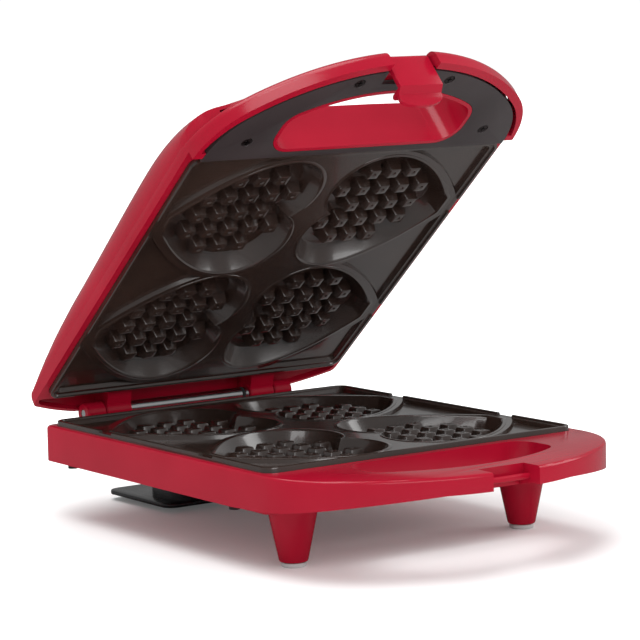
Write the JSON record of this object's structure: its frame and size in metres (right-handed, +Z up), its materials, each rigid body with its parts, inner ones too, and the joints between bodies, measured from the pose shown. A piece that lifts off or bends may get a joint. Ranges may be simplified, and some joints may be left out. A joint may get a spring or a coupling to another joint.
{
  "type": "heart waffle maker",
  "caption": "Hinged electric waffle maker with heart moulds, looped carrying grips, a front latch clip and tapered front feet, shown with its lid raised.",
  "frame": {"origin": "middle of the bounding box, on the surface the machine stands on", "axes": "+X to the right seen from the grips, +Y from the grips to the hinge, +Z up"},
  "size_m": [0.238, 0.3564, 0.2931],
  "materials": {
    "red_housing": "glossy crimson",
    "dark_cover": "satin dark brown-grey",
    "black_cleat": "semi-gloss black",
    "non_stick": "dark non-stick coating, satin",
    "bright_steel": "bright",
    "sheet_metal": "mill finish sheet",
    "element_steel": "heat-darkened",
    "ceramic": "off-white ceramic or phenolic",
    "pad_rubber": "translucent white",
    "black_rubber": "matt",
    "amber_lens": "clear amber",
    "green_lens": "clear green"
  },
  "bodies": {
    "base": {"base_housing": "red_housing", "base_bottom_cover": "red_housing", "cord_wrap_cleat": "black_cleat", "front_foot_pad_left": "pad_rubber", "front_foot_pad_right": "pad_rubber", "rear_foot_pad_left": "black_rubber", "rear_foot_pad_right": "black_rubber", "cleat_screw_left": "bright_steel", "cleat_screw_right": "bright_steel", "bottom_cover_screw_rear_left": "bright_steel", "bottom_cover_screw_rear_right": "bright_steel", "bottom_cover_screw_front_left": "bright_steel", "bottom_cover_screw_front_right": "bright_steel", "lower_plate": "non_stick", "lower_heater": "element_steel", "lower_reflector": "sheet_metal", "lower_plate_screw_rear_left": "bright_steel", "lower_plate_screw_rear_right": "bright_steel", "lower_plate_screw_front_left": "bright_steel", "lower_plate_screw_front_right": "bright_steel", "thermostat": "ceramic", "thermal_fuse": "ceramic", "terminal_block": "ceramic", "cord_gland": "black_rubber", "hinge_rod": "bright_steel", "hinge_tube": "bright_steel", "hinge_ring": "black_rubber", "hinge_collar": "bright_steel"},
    "lid": {"lid_housing": "red_housing", "grip_cover": "dark_cover", "grip_cover_screw_outer_left": "bright_steel", "grip_cover_screw_outer_right": "bright_steel", "grip_cover_screw_inner_left": "bright_steel", "grip_cover_screw_inner_right": "bright_steel", "power_lens": "amber_lens", "ready_lens": "green_lens", "upper_plate": "non_stick", "upper_heater": "element_steel", "upper_reflector": "sheet_metal", "upper_plate_screw_rear_left": "bright_steel", "upper_plate_screw_rear_right": "bright_steel", "upper_plate_screw_front_left": "bright_steel", "upper_plate_screw_front_right": "bright_steel", "latch_pin": "bright_steel"},
    "latch": {"latch_clip": "red_housing"}
  },
  "joints": [
    {"name": "lid_hinge", "type": "hinge", "parent": "base", "child": "lid", "pos_m": [0, 0.16424, 0.0608], "axis": [-1, 0, 0], "range_deg": [-41.2, 63.8]},
    {"name": "latch_pivot", "type": "hinge", "parent": "lid", "child": "latch", "pos_m": [0, -0.07941, 0.285], "axis": [-1, 0, 0], "range_deg": [0, 50]}
  ]
}
